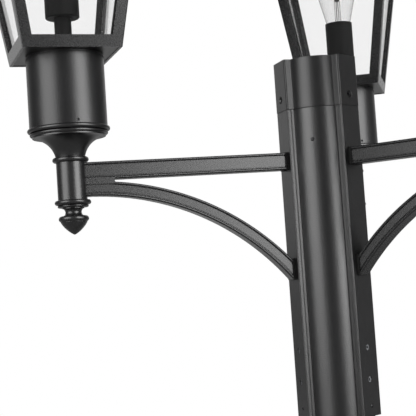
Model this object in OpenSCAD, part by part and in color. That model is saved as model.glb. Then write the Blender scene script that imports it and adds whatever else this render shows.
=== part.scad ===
// Outdoor post light: three square lanterns on cast arms, a third of a turn apart round one post.
// Lengths are in millimetres. The origin is the centre of the base's underside, +Z is up,
// and the left arm points along -X.

/* [Post] */
// Height above the ground of the seam between the post head and its cap
seam_z = 1800; // [1500:10:2200]
// Length of the three-pad post head, from its cap down to the round pole
head_len = 338; // [330:1:400]
// Distance from the post's axis to the face of each flat pad
pad_face = 43.65; // [43.4:0.05:44.4]
// Width of each flat pad
pad_w = 32.4; // [31.6:0.2:33]
// Radius of each rounded lobe between two pads
lobe_r = 33.5; // [33.5:0.1:34.2]
// Distance from the post's axis to the centre of each lobe
lobe_shift = 7; // [6.8:0.1:7.2]
// Wall thickness of the post head
head_wall = 3; // [2.8:0.1:3.2]
// Height of the cap on the post head
cap_h = 56.1; // [50:0.1:80]
// Outside radius of the round pole under the head
pole_r = 38.1; // [37.8:0.1:38.4]
// Wall thickness of the pole
pole_wall = 2.5; // [2.2:0.1:2.8]

/* [Base] */
// Radius of the foot's flange
flange_r = 115; // [110:1:118]
// Thickness of the foot's flange
flange_t = 12; // [10:1:14]
// Diameter of the circle through the four anchor holes
anchor_pcd = 180; // [170:5:190]
// Radius of each anchor hole
anchor_r = 6.5; // [5.5:0.5:7]
// Radius of the cable entry through the foot
cable_r = 20; // [15:1:22]
// Radius of the base cover at the ground
cover_r = 127; // [124:1:135]

/* [Arms] */
// Distance from the post's axis to each lantern's axis
arm_reach = 283.65; // [270:0.05:320]
// Thickness of an arm over its beads
arm_t = 17; // [16.4:0.2:18]
// Depth of the straight bar, from its top edge to its bottom edge
bar_h = 18.9; // [18.4:0.1:19.2]
// Fall of the bar's centre line from the post to the lantern
bar_fall = 3.15; // [0:0.05:4]
// Radius of the curved brace's upper edge
brace_r = 298; // [297.4:0.1:299]
// Depth of the curved brace
brace_h = 15; // [14:0.2:16]

/* [Lanterns] */
// Outside radius of the round cup under each lantern
cup_r = 41; // [40.6:0.1:41.6]
// Height of each lantern's underside above the cap seam
base_up = 63.7; // [60:0.1:80]
// Half of a lantern's width at its underside
frame_half = 51.5; // [50.5:0.5:54]
// Growth of that half width for each millimetre of height
frame_flare = 0.158; // [0.14:0.002:0.17]
// Height of the lantern frame
frame_h = 255; // [245:1:280]
// Width of the frame's corner bars on each face
corner_w = 11.7; // [11:0.1:12.5]
// Height of the frame's bottom and top rails
rail_h = 12.5; // [11:0.5:14]
// Thickness of the glass panes
pane_t = 3; // [2.6:0.2:3]
// Radius of the lamp socket's outer shell
socket_r = 18.07; // [17.9:0.01:18.6]
// Largest radius of the bulb
bulb_r = 32; // [30:0.5:34]
// Half of the roof's width at its eaves
eave_half = 105; // [100:1:115]

/* [Hidden] */
HEADS = [["left", 180], ["right", 300], ["rear", 60]];
FIXED_PARTS = ["arm", "hub", "hub_finial", "fitter_cup", "lantern_frame", "glass_panes", "socket_stem",
    "socket_shell", "socket_insert", "crossbar"];
MOVING_PARTS = ["bulb_glass", "bulb_cap", "bulb_mount", "roof", "roof_finial"];
$fn = 72;
eps = 0.01;

// The thirds of a turn: pads face the arms, and lobes lie half way between them.
TURNS = [for (head = HEADS) head[1]];
lobe_turn = 60;

// Colours
black = [0.15, 0.15, 0.155];
satin_black = [0.19, 0.19, 0.195];
rubber_black = [0.08, 0.08, 0.08];
steel = [0.62, 0.63, 0.65];
glass = [0.86, 0.91, 0.93, 0.35];
porcelain = [0.9, 0.89, 0.86];
brass = [0.74, 0.6, 0.33];
filament = [0.93, 0.76, 0.4];

// Post: sections and heights
pad_half = pad_w / 2;
pad_edge_r = 1.2;
bore_face = pad_face - head_wall;
bore_half = pad_half - head_wall;
bore_lobe_r = lobe_r - head_wall;
corner_groove_r = 0.6;
side_groove_r = 0.5;
side_groove_x = pad_face - 4.45;
joint_z = seam_z - head_len;
pole_bore_r = pole_r - pole_wall;
coupling_wall = 4.6;
coupling_up = 110;
coupling_down = 150;
cap_step = 0.35;
cap_side_step = 0.7;
cap_edge_r = 2;
cap_top_t = 4;
seam_gap = 0.7;
seam_inset = 0.6;
insert_down = 45;
insert_up = 25;
insert_bore_r = 22;

// Post: fasteners, by their distance under the seam
head_screw_drops = [264, 298.5];
head_screw_r = 3.2;
set_screw_sink = 0.8;
screw_slack = 0.05;
cap_screw_up = 13.4;
cap_screw_r = 3;
cap_sink_r = 4.4;
rivet_r = 1.6;
rivet_head_r = 2.2;
rivet_head_h = 0.7;
lobe_rivet_drop = 35;
lobe_rivet_turn = 55;
pad_rivet_drop = 327;
pole_screw_r = 3;
pole_screw_drop = 40;

// Base cover: a plinth, a hollow bell and a beaded neck
plinth_h = 22;
plinth_edge_r = 4;
bell_foot_r = 116;
bell_foot_z = 30;
bell_top_z = 120;
neck_r = 50;
neck_top_z = 152;
cover_wall = 4;
cover_clear = 0.3;
spigot_h = 80;
cover_screw_z = 140;
bell_rise = bell_top_z - bell_foot_z;
bell_run = bell_foot_r - neck_r;
bell_arc_r = (bell_run * bell_run + bell_rise * bell_rise) / (2 * bell_run);

// Arms: the bar's centre line runs from the pad to the hub, and the brace is one arc
hub_r = 15.4;
arm_half = arm_t / 2;
bead_r = 1.6;
bead_proud = 0.05;
bead_y = arm_half - bead_r;
bead_groove = 0.9;
core_half = bead_y - 0.1;
field_half = arm_half - 0.9;
gasket_t = 3;
gasket_lip = 0.3;
arm_start = pad_face + gasket_t;
bar_start_z = -55.5;
bar_slope = atan(bar_fall / (arm_reach - hub_r - arm_start));
brace_x = 263.35;
brace_z = -367.75;
brace_from = 88;
brace_to = 142;
web_from = 239;
web_half = 8.6;
bolt_r = 3;
bolt_head_r = 5.2;
bolt_head_h = 4;
bar_bolt_up = 4.8;
bar_bolt_len = 20;
brace_bolt_z = -170;
brace_bolt_len = 8;
wireway_r = 3;
wireway_down = 4.4;
lead_r = 2;

// Hub, collar and cup, by height over the seam
hub_bore_r = 5;
hub_bottom = -96.8;
hub_foot_r = 11.4;
foot_ring = [14.9, -94.4, 1.3];
low_bead = [16.57, -90.5, 2.5];
high_bead = [16.37, -45.6, 2.7];
flare_arc = [40.5, -47.36, 25.45];
flare_top = -20.4;
flare_r = 38.6;
flare_bottom = -45;
disc_ring = [39.1, -18.5, 1.9];
collar_ring = [41.1, -14.2, 2.3];
collar_top = collar_ring[1] + collar_ring[2];
tenon_top = 45;
tenon_wall = 2.5;
cup_slack = 0.3;
cup_bore_r = pole_r + cup_slack;
cup_neck_h = 1.8;
cup_neck_r = 39.5;
cup_top_t = 3;
floor_up = 0.6;
floor_t = 3.4;
floor_half = 48.4;
fitter_screw_turns = [94, 214, 334];
fitter_screw_z = -8.8;
fitter_screw_r = 1.5;
fitter_screw_sink = 1.2;
finial_neck_arc = [12.75, -100.6, 4.25];
finial_ring = [12.75, -107.6, 3.1];
acorn_r = 14;
acorn_h = 13.4;
acorn_power = 1.29;
acorn_steps = 10;
stud_hold = 11;

// Lantern, by height over its underside
frame_t = 3;
edge_cut = 1;
ledge_z = 4;
ledge_t = 2;
ledge_half = 43;
pane_gap = 0.2;
pane_short = 5.6;
rib_t = 2;
rib_reach = 9;
opening_half = frame_half + frame_flare * rail_h - corner_w;
tilt = atan(frame_flare);
stem_r = 9.06;
nipple_r = 4.95;
nipple_bore_r = 3.4;
nipple_bottom = -16;
nut_r = 9;
nut_h = 6;
shell_bottom = 41;
shell_top = 94.2;
shell_wall = 1.17;
shell_floor = 2;
shell_edge = 1;
insert_floor_z = 53;
insert_top_z = 76;
lamp_base_r = 13.05;
lamp_base_slack = 0.05;
lamp_base_top = 80;
contact_r = 4.5;
contact_h = 2;
lamp_glass_foot_r = 13.4;
bulb_centre_z = 182;
bulb_wall = 1;
bulb_power = 1.2;
bulb_steps = 14;
stem_tube_r = 4;
stem_tube_top = 130;
filament_r = 1.1;
filament_foot_z = 138;
filament_top_z = 186;
filament_foot_out = 5;
filament_top_out = 12;
crossbar_w = 16;
crossbar_t = 3;
crossbar_short = 1;
stud_r = 3;
roof_low = 6;
eave_h = 5;
roof_slack = 1.2;
roof_seat = 0.35;
roof_lap = 6;
roof_steps = [[1, 0], [0.667, 22], [0.4, 48], [0.229, 80]];
roof_wall_in = 1.8;
roof_wall_down = 2.6;
roof_ledge_t = 3;
roof_top_t = 5;
thumb_bore_r = 3.05;
thumb_bore_h = 19;
thumb_ring = [14.4, 5, 3.4];
thumb_neck = [12, 13.6, 5.4];
thumb_ball_r = 14.5;
thumb_ball_z = 30;
thumb_acorn_h = 24;

// Shared shapes

// A ring of round section for a revolved profile: [distance from the axis, height, section radius].
// It is filled in to the axis.
module ring(r) {
    translate([r[0], r[1]]) circle(r = r[2]);
    translate([0, r[1] - r[2]]) square([r[0], 2 * r[2]]);
}

// A straight round rod between two points
module rod(from, to, radius) {
    way = to - from;
    length = norm(way);
    translate(from)
        rotate([0, acos(way[2] / length), atan2(way[1], way[0])])
            cylinder(h = length, r = radius, $fn = 32);
}

// A round hole or pin along +X, from x0 to x1 at height z
module along_x(x0, x1, z, radius, sides = 32) {
    translate([x0, 0, z]) rotate([0, 90, 0]) cylinder(h = x1 - x0, r = radius, $fn = sides);
}

// The three-fold section of the post: a flat pad to each arm, and a rounded lobe between each two
module post_section(face, half, radius, edge = 0) {
    for (turn = TURNS) {
        rotate(turn) {
            translate([0, -half]) square([face - edge, 2 * half]);
            if (edge > 0) {
                translate([0, -(half - edge)]) square([face, 2 * (half - edge)]);
                for (side = [-1, 1]) translate([face - edge, side * (half - edge)]) circle(r = edge);
            }
        }
        rotate(turn + lobe_turn) translate([lobe_shift, 0]) circle(r = radius);
    }
}

module post_bore() {
    post_section(bore_face, bore_half, bore_lobe_r);
}

// The section of an arm's bar or brace: a core, a sunk field on both faces, and beads along both edges.
// Its depth lies along -X from the outer edge and its thickness along Y.
module arm_section(depth) {
    bead_x = bead_r - bead_proud;
    field_x = bead_x + bead_r + bead_groove;
    translate([-depth, -core_half]) square([depth, 2 * core_half]);
    translate([-depth + field_x, -field_half]) square([depth - 2 * field_x, 2 * field_half]);
    for (side = [-1, 1]) {
        for (x = [-bead_x, bead_x - depth]) translate([x, side * bead_y]) circle(r = bead_r);
    }
}

// Profile of an acorn standing on its flat top at height 0, its tip down at -height
function acorn_points(radius, height) = [for (i = [0 : acorn_steps])
    let (t = 90 * i / acorn_steps)
    [radius * pow(cos(t), 2 / acorn_power), -height * pow(sin(t), 2 / acorn_power)]];

module acorn(radius, height) {
    polygon(concat([[0, 0]], acorn_points(radius, height)));
}

// A square tapered block between two heights, with its corners cut off by edge at its foot
module tapered_block(z0, z1, half0, half1, edge = 0) {
    cut = half0 - edge;
    translate([0, 0, z0]) linear_extrude(z1 - z0, scale = half1 / half0)
        polygon(edge > 0
            ? [[-cut, -half0], [cut, -half0], [half0, -cut], [half0, cut], [cut, half0], [-cut, half0],
                [-half0, cut], [-half0, -cut]]
            : [[-half0, -half0], [half0, -half0], [half0, half0], [-half0, half0]]);
}

// Places children at an arm, with X outwards from the post's axis and height over the seam
module at_arm(turn) {
    translate([0, 0, seam_z]) rotate(turn) children();
}

// Places children on a lantern's axis, still with height over the seam
module at_lantern_axis(turn) {
    at_arm(turn) translate([arm_reach, 0, 0]) children();
}

// Places children on a lantern's axis with height over the lantern's underside
module in_lantern(turn) {
    at_lantern_axis(turn) translate([0, 0, base_up]) children();
}

// Post and base

// Cast foot: a flange with anchor holes and a spigot that the pole slides over
module base_plate() {
    color(black) difference() {
        union() {
            cylinder(h = flange_t, r = flange_r);
            cylinder(h = flange_t + spigot_h, r = pole_bore_r);
        }
        translate([0, 0, -1]) cylinder(h = flange_t + spigot_h + 2, r = cable_r);
        for (turn = [45 : 90 : 315]) {
            rotate(turn) translate([anchor_pcd / 2, 0, -1])
                cylinder(h = flange_t + 2, r = anchor_r, $fn = 32);
        }
    }
}

module cover_profile() {
    difference() {
        union() {
            square([cover_r, plinth_h - plinth_edge_r]);
            square([cover_r - plinth_edge_r, plinth_h]);
            translate([cover_r - plinth_edge_r, plinth_h - plinth_edge_r]) circle(r = plinth_edge_r);
            square([bell_foot_r + 2, bell_foot_z - 2]);
            difference() {
                square([bell_foot_r, bell_top_z]);
                translate([neck_r + bell_arc_r, bell_top_z]) circle(r = bell_arc_r, $fn = 180);
            }
            ring([neck_r, bell_top_z + 4, 5]);
            square([neck_r - 3, neck_top_z - 3]);
            ring([neck_r - 4, neck_top_z - 4, 4]);
        }
        translate([-1, -1]) square([pole_r + cover_clear + 1, neck_top_z + 2]);
        translate([0, -1]) square([cover_r - cover_wall, plinth_h - cover_wall + 1]);
        difference() {
            square([bell_foot_r - cover_wall, bell_top_z - cover_wall]);
            translate([neck_r + bell_arc_r, bell_top_z]) circle(r = bell_arc_r + cover_wall, $fn = 180);
        }
    }
}

// Cast cover that hides the flange, with three set screws in its neck
module base_cover() {
    color(black) difference() {
        rotate_extrude($fn = 96) cover_profile();
        for (turn = TURNS) rotate(turn) along_x(pole_r - 2, neck_r + 6, cover_screw_z, pole_screw_r);
    }
}

module socket_set_screw(x0, x1, z, radius) {
    difference() {
        along_x(x0, x1, z, radius - screw_slack);
        along_x(x1 - radius, x1 + 1, z, radius * 0.55, 6);
    }
}

// Set screws of the base cover and of the pole's coupling
module pole_screws() {
    coupling_screw_z = joint_z - pole_screw_drop;
    color(steel) for (turn = TURNS) rotate(turn) {
        socket_set_screw(pole_r, neck_r - 4, cover_screw_z, pole_screw_r);
        socket_set_screw(pole_bore_r - coupling_wall + 1, pole_r - 0.2, coupling_screw_z, pole_screw_r);
    }
}

// Round pole between the foot and the post head
module pole() {
    color(satin_black) difference() {
        translate([0, 0, flange_t]) cylinder(h = joint_z - flange_t, r = pole_r);
        cylinder(h = joint_z + 1, r = pole_bore_r);
        for (turn = TURNS) {
            rotate(turn) along_x(pole_bore_r - 5, pole_r + 5, joint_z - pole_screw_drop, pole_screw_r);
        }
    }
}

// Sleeve inside the joint between the pole and the post head
module pole_coupling() {
    screw_heights = concat([-pole_screw_drop], [for (drop = head_screw_drops) head_len - drop]);
    color(steel) difference() {
        translate([0, 0, joint_z - coupling_down])
            cylinder(h = coupling_down + coupling_up, r = pole_bore_r);
        translate([0, 0, joint_z - coupling_down - 1])
            cylinder(h = coupling_down + coupling_up + 2, r = pole_bore_r - coupling_wall);
        for (turn = TURNS) rotate(turn) {
            along_x(pole_bore_r - coupling_wall + 1, pole_r, joint_z + screw_heights[0], pole_screw_r);
            for (i = [1, 2]) {
                along_x(pole_bore_r - coupling_wall + 2, pole_r, joint_z + screw_heights[i], head_screw_r);
            }
            along_x(pole_bore_r - 2, pole_r, seam_z - pad_rivet_drop, rivet_r);
        }
    }
}

// Extruded three-pad head that carries the arms
module head_post() {
    color(black) difference() {
        translate([0, 0, joint_z]) linear_extrude(head_len) difference() {
            post_section(pad_face, pad_half, lobe_r, pad_edge_r);
            post_bore();
            for (turn = TURNS) rotate(turn) for (side = [-1, 1]) {
                translate([lobe_meets_pad(), side * pad_half]) circle(r = corner_groove_r, $fn = 24);
                translate([side_groove_x, side * pad_half]) circle(r = side_groove_r, $fn = 24);
            }
        }
        for (turn = TURNS) at_arm(turn) {
            for (drop = head_screw_drops) along_x(30, 60, -drop, head_screw_r);
            along_x(30, 60, -pad_rivet_drop, rivet_r);
            along_x(30, 60, bar_start_z + bar_bolt_up, bolt_r + 0.3);
            along_x(30, 60, bar_start_z - wireway_down, wireway_r + 0.2);
            along_x(30, 60, brace_bolt_z, bolt_r + 0.3);
            rotate(lobe_rivet_turn) along_x(30, 60, -lobe_rivet_drop, rivet_r);
        }
    }
}

// Distance from the post's axis, along a pad, of the line where a lobe meets the pad's side
function lobe_meets_pad() = lobe_shift * cos(lobe_turn)
    + sqrt(pow(lobe_r, 2) - pow(pad_half - lobe_shift * sin(lobe_turn), 2));

// Set screws that clamp the head on the coupling, two through each pad
module head_screws() {
    color(steel) for (turn = TURNS) at_arm(turn) for (drop = head_screw_drops) {
        socket_set_screw(pole_bore_r - coupling_wall + 2, pad_face - set_screw_sink, -drop, head_screw_r);
    }
}

module rivet(x0, x1, z) {
    along_x(x0, x1, z, rivet_r - screw_slack);
    along_x(x1, x1 + rivet_head_h, z, rivet_head_r);
}

// Blind rivets: one low on each pad, and one high on each lobe for the cap's insert
module rivets() {
    lobe_face = lobe_shift + lobe_r;
    color(satin_black) for (turn = TURNS) at_arm(turn) {
        rivet(pole_bore_r - 2, pad_face, -pad_rivet_drop);
        rotate(lobe_rivet_turn) rivet(bore_lobe_r, lobe_face, -lobe_rivet_drop);
    }
}

// Casting riveted in the top of the head, which the cap sits over
module cap_insert() {
    color(steel) difference() {
        translate([0, 0, seam_z - insert_down]) linear_extrude(insert_down + insert_up) post_bore();
        translate([0, 0, seam_z - insert_down - 1])
            cylinder(h = insert_down + insert_up + 2, r = insert_bore_r);
        for (turn = TURNS) at_arm(turn) {
            along_x(bore_face - 3, 60, cap_screw_up, cap_screw_r);
            rotate(lobe_rivet_turn) along_x(bore_lobe_r, 60, -lobe_rivet_drop, rivet_r);
        }
    }
}

// The cap's own section is a little larger than the head's; inset draws it in
module cap_section(inset) {
    post_section(pad_face + cap_step - inset, pad_half + cap_side_step - inset,
        lobe_r + cap_side_step - inset, cap_edge_r - inset);
}

// Cap of the head, with a fine shadow gap at the seam
module post_cap() {
    color(black) difference() {
        union() {
            translate([0, 0, seam_z + seam_gap]) linear_extrude(cap_h - seam_gap) cap_section(0);
            translate([0, 0, seam_z]) linear_extrude(seam_gap + 1) cap_section(seam_inset);
        }
        translate([0, 0, seam_z - 1]) linear_extrude(cap_h - cap_top_t + 1) post_bore();
        for (turn = TURNS) at_arm(turn) {
            along_x(30, 60, cap_screw_up, cap_screw_r);
            translate([pad_face + cap_step - 1.4, 0, cap_screw_up])
                rotate([0, 90, 0]) cylinder(h = 1.5, r1 = cap_screw_r, r2 = cap_sink_r, $fn = 32);
        }
    }
}

module cap_screws() {
    color(steel) for (turn = TURNS) at_arm(turn) {
        socket_set_screw(bore_face - 3, pad_face + cap_step - 1.4, cap_screw_up, cap_screw_r);
    }
}

// Seals and bolts between the arms and the pads

module gasket_plate(z_low, z_high, hole_heights) {
    half = arm_half + gasket_lip;
    difference() {
        translate([pad_face, -half, z_low - gasket_lip])
            cube([gasket_t, 2 * half, z_high - z_low + 2 * gasket_lip]);
        for (z = hole_heights) along_x(pad_face - 1, arm_start + 1, z, bolt_r + 0.3);
    }
}

// Height of the brace's edge of a given radius where it meets its gasket
function brace_edge_z(radius) = brace_z + sqrt(pow(radius, 2) - pow(brace_x - arm_start, 2));

module arm_gaskets() {
    color(rubber_black) for (turn = TURNS) at_arm(turn) {
        gasket_plate(bar_start_z - bar_h / 2, bar_start_z + bar_h / 2,
            [bar_start_z + bar_bolt_up, bar_start_z - wireway_down]);
        gasket_plate(brace_edge_z(brace_r - brace_h), brace_edge_z(brace_r), [brace_bolt_z]);
    }
}

module arm_bolt(z, length) {
    along_x(bore_face - bolt_head_h, bore_face, z, bolt_head_r, 6);
    along_x(bore_face - eps, arm_start + length, z, bolt_r - screw_slack);
}

module arm_bolts() {
    color(steel) for (turn = TURNS) at_arm(turn) {
        arm_bolt(bar_start_z + bar_bolt_up, bar_bolt_len);
        arm_bolt(brace_bolt_z, brace_bolt_len);
    }
}

// One-piece cast arm: the bar, the curved brace and the web that joins them beside the hub
module arm() {
    bar_len = arm_reach - 8 - pad_face;
    web_z = bar_start_z - bar_fall * (web_from - arm_start) / (arm_reach - hub_r - arm_start) - bar_h / 2;
    color(black) difference() {
        union() {
            translate([arm_start, 0, bar_start_z])
                rotate([0, bar_slope, 0])
                    translate([-gasket_t, 0, bar_h / 2])
                        rotate([0, 90, 0]) linear_extrude(bar_len) mirror([1, 0]) arm_section(bar_h);
            translate([brace_x, 0, brace_z])
                rotate([90, 0, 0])
                    rotate([0, 0, brace_from])
                        rotate_extrude(angle = brace_to - brace_from, $fn = 360)
                            translate([brace_r, 0]) arm_section(brace_h);
            rotate([90, 0, 0]) linear_extrude(2 * web_half, center = true) difference() {
                translate([web_from, web_z - 5]) square([arm_reach - 8 - web_from, 7]);
                translate([web_from - 1.9, web_z - 1.5]) circle(r = 2.4, $fn = 32);
            }
        }
        translate([0, -20, -250]) cube([arm_start, 40, 250]);
        translate([arm_reach, 0, -120]) cylinder(h = 100, r = hub_r);
        along_x(arm_start - 1, arm_start + bar_bolt_len + 1, bar_start_z + bar_bolt_up, bolt_r);
        along_x(arm_start - 1, arm_start + brace_bolt_len + 1, brace_bolt_z, bolt_r);
        translate([arm_start, 0, bar_start_z - wireway_down])
            rotate([0, bar_slope, 0]) along_x(-1, arm_reach - arm_start, 0, wireway_r);
    }
}

// Height of the wireway where it reaches the hub's axis
wireway_end_z = bar_start_z - wireway_down - (arm_reach - arm_start) * tan(bar_slope);

// Stem of the hub: its foot, its two beads and the shaft between them
module hub_stem_profile() {
    translate([0, hub_bottom]) square([hub_foot_r, 5]);
    ring(foot_ring);
    ring(low_bead);
    ring(high_bead);
    translate([0, foot_ring[1]]) square([hub_r, flare_bottom - foot_ring[1] + 1.4]);
}

// Head of the hub: a hollow curve that opens out to a disc
module hub_flare_profile() {
    difference() {
        translate([0, flare_bottom]) square([flare_r, flare_top + 0.7 - flare_bottom]);
        translate([flare_arc[0], flare_arc[1]]) circle(r = flare_arc[2], $fn = 120);
    }
}

// Turned hub at the arm's end, with the collar and the tenon that carry a lantern
module hub() {
    color(satin_black) difference() {
        union() {
            rotate_extrude($fn = 96) hub_stem_profile();
            rotate_extrude($fn = 96) hub_flare_profile();
            rotate_extrude($fn = 96) ring(disc_ring);
            rotate_extrude($fn = 96) ring(collar_ring);
            translate([0, 0, flare_top - 0.4])
                cylinder(h = collar_top - flare_top - 0.3, r = flare_r - 0.5);
            translate([0, 0, collar_top - 2]) cylinder(h = tenon_top - collar_top + 2, r = pole_r);
        }
        translate([0, 0, hub_bottom - 1]) cylinder(h = collar_top - hub_bottom - 3, r = hub_bore_r);
        translate([0, 0, collar_top - 5]) cylinder(h = tenon_top - collar_top + 6, r = pole_r - tenon_wall);
        translate([0, 0, wireway_end_z]) rotate([0, bar_slope, 0]) along_x(-hub_r - 2, 0, 0, wireway_r);
        for (turn = fitter_screw_turns) {
            rotate(turn) along_x(pole_r - 0.5, pole_r + 2, fitter_screw_z, fitter_screw_r);
        }
    }
}

module finial_neck_profile() {
    difference() {
        translate([0, finial_ring[1]]) square([hub_foot_r, hub_bottom - finial_ring[1]]);
        translate([finial_neck_arc[0], finial_neck_arc[1]]) circle(r = finial_neck_arc[2]);
    }
}

module hub_finial() {
    color(satin_black) {
        rotate_extrude() finial_neck_profile();
        rotate_extrude() ring(finial_ring);
        translate([0, 0, finial_ring[1] - finial_ring[2] + 0.1])
            rotate_extrude() acorn(acorn_r, acorn_h + 0.1);
        translate([0, 0, hub_bottom - 1]) cylinder(h = stud_hold + 1, r = hub_bore_r - screw_slack);
    }
}

// Lantern

// Cup that drops over the tenon, with the lantern's square floor cast on its top
module fitter_cup() {
    color(satin_black) difference() {
        union() {
            translate([0, 0, collar_top]) cylinder(h = base_up - cup_neck_h - collar_top, r = cup_r);
            translate([0, 0, base_up - cup_neck_h - eps])
                cylinder(h = cup_neck_h + floor_up + 2 * eps, r = cup_neck_r);
            translate([-floor_half, -floor_half, base_up + floor_up])
                cube([2 * floor_half, 2 * floor_half, floor_t]);
        }
        translate([0, 0, collar_top - 1])
            cylinder(h = base_up - cup_neck_h - cup_top_t - collar_top + 1, r = cup_bore_r);
        cylinder(h = base_up + 10, r = nipple_r + screw_slack, $fn = 32);
        for (turn = fitter_screw_turns) {
            rotate(turn) along_x(pole_r - 2, cup_r + 2, fitter_screw_z, fitter_screw_r);
        }
    }
}

module fitter_screws() {
    color(steel) for (head = HEADS) at_lantern_axis(head[1]) for (turn = fitter_screw_turns) rotate(turn) {
        socket_set_screw(pole_r - 0.5, cup_r - fitter_screw_sink, fitter_screw_z, fitter_screw_r);
    }
}

function frame_half_at(z) = frame_half + frame_flare * z;

// Four trapezoid windows, one through each face
module frame_windows() {
    low = rail_h;
    high = frame_h - rail_h;
    for (turn = [0 : 90 : 270]) {
        rotate(turn)
            rotate([90, 0, 0])
                linear_extrude(frame_half_at(frame_h) + 1)
                    polygon([[-opening_half, low], [opening_half, low],
                        [opening_half + frame_flare * (high - low), high],
                        [-opening_half - frame_flare * (high - low), high]]);
    }
}

// Rib inside a corner bar, which holds the edges of two panes
module corner_rib() {
    reach_at = [for (z = [ledge_z, frame_h - rail_h]) [z, frame_half_at(z) - frame_t]];
    hull() {
        for (level = reach_at) {
            translate([level[1], level[1], level[0]]) rotate(45) translate([-rib_reach, -rib_t / 2, 0])
                cube([rib_reach + 1, rib_t, eps]);
        }
    }
    hull() {
        for (level = reach_at) {
            translate([level[1], level[1], level[0]]) rotate(45) translate([-rib_reach - 2, -3.5, 0])
                cube([2, 7, eps]);
        }
    }
}

// Cast lantern frame: corner bars, bottom and top rails, a ledge for the panes and notches for the crossbar
module lantern_frame() {
    inner_low = frame_half - frame_t;
    color(black) {
        difference() {
            tapered_block(0, frame_h, frame_half, frame_half_at(frame_h), edge_cut);
            tapered_block(-1, frame_h + 1, inner_low - frame_flare,
                inner_low + frame_flare * (frame_h + 1));
            frame_windows();
            translate([-frame_half_at(frame_h), -crossbar_w / 2, frame_h - crossbar_t])
                cube([2 * frame_half_at(frame_h), crossbar_w, crossbar_t + 1]);
        }
        difference() {
            tapered_block(ledge_z, ledge_z + ledge_t, frame_half_at(ledge_z) - 1,
                frame_half_at(ledge_z + ledge_t) - 1);
            translate([-ledge_half, -ledge_half, 0]) cube([2 * ledge_half, 2 * ledge_half, 20]);
        }
        for (turn = [0 : 90 : 270]) rotate(turn) corner_rib();
    }
}

// One clear pane in each side, standing on the ledge behind the frame
module glass_panes() {
    foot = ledge_z + ledge_t;
    slope_len = (frame_h - crossbar_t - 2 - foot) / cos(tilt);
    foot_y = frame_half_at(foot) - frame_t - pane_gap;
    foot_half = foot_y - pane_short;
    color(glass) for (turn = [0 : 90 : 270]) rotate(turn)
        translate([0, -foot_y, foot])
            rotate([90 + tilt, 0, 0])
                translate([0, 0, -pane_t])
                    linear_extrude(pane_t)
                        polygon([[-foot_half, pane_t * sin(tilt)], [foot_half, pane_t * sin(tilt)],
                            [foot_half + frame_flare * cos(tilt) * slope_len, slope_len],
                            [-foot_half - frame_flare * cos(tilt) * slope_len, slope_len]]);
}

// Threaded nipple with its nut under the cup's top, and the round sleeve over it
module socket_stem() {
    floor_top = floor_up + floor_t;
    nut_top = -cup_neck_h - cup_top_t;
    color(satin_black) difference() {
        union() {
            translate([0, 0, nipple_bottom])
                cylinder(h = shell_bottom + shell_floor + 4 - nipple_bottom, r = nipple_r);
            translate([0, 0, floor_top]) cylinder(h = shell_bottom - floor_top, r = stem_r);
            translate([0, 0, nut_top - nut_h]) cylinder(h = nut_h, r = nut_r, $fn = 6);
        }
        translate([0, 0, nipple_bottom - 1]) cylinder(h = 80, r = nipple_bore_r, $fn = 32);
    }
}

module socket_shell() {
    color(black) difference() {
        rotate_extrude() polygon([[0, shell_bottom], [socket_r - shell_edge, shell_bottom],
            [socket_r, shell_bottom + shell_edge], [socket_r, shell_top], [0, shell_top]]);
        translate([0, 0, shell_bottom + shell_floor]) cylinder(h = 60, r = socket_r - shell_wall);
        cylinder(h = 60, r = nipple_r + screw_slack, $fn = 32);
    }
}

// Ceramic lampholder body, whose bore takes the bulb's screw base
module socket_insert() {
    color(porcelain) difference() {
        translate([0, 0, shell_bottom + shell_floor])
            cylinder(h = insert_top_z - shell_bottom - shell_floor, r = socket_r - shell_wall);
        translate([0, 0, insert_floor_z]) cylinder(h = 40, r = lamp_base_r + lamp_base_slack);
        translate([0, 0, shell_bottom])
            cylinder(h = shell_floor + 4.2, r = nipple_r + screw_slack, $fn = 32);
    }
}

module bulb_cap() {
    color(brass) difference() {
        rotate_extrude() polygon([[0, insert_floor_z], [contact_r, insert_floor_z],
            [contact_r, insert_floor_z + contact_h], [lamp_base_r, insert_floor_z + 2 * contact_h],
            [lamp_base_r, lamp_base_top], [0, lamp_base_top]]);
        translate([0, 0, lamp_base_top - 12]) cylinder(h = 13, r = lamp_base_r - 0.65);
    }
}

// Radius of the bulb at a height below its widest place, easing out from the narrow foot
function bulb_radius(z) = let (u = (z - lamp_base_top) / (bulb_centre_z - lamp_base_top))
    lamp_glass_foot_r + (bulb_r - lamp_glass_foot_r) * sin(90 * pow(u, bulb_power));

module bulb_outline(inset) {
    points = [for (i = [0 : bulb_steps])
        let (z = lamp_base_top + (bulb_centre_z - lamp_base_top) * i / bulb_steps)
        [bulb_radius(z) - inset, z]];
    polygon(concat([[0, lamp_base_top]], points, [[0, bulb_centre_z]]));
    intersection() {
        translate([0, bulb_centre_z]) circle(r = bulb_r - inset);
        translate([0, bulb_centre_z - 1]) square([bulb_r, bulb_r + 2]);
    }
}

module bulb_glass() {
    color(glass) rotate_extrude() difference() {
        bulb_outline(0);
        bulb_outline(bulb_wall);
    }
}

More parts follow.
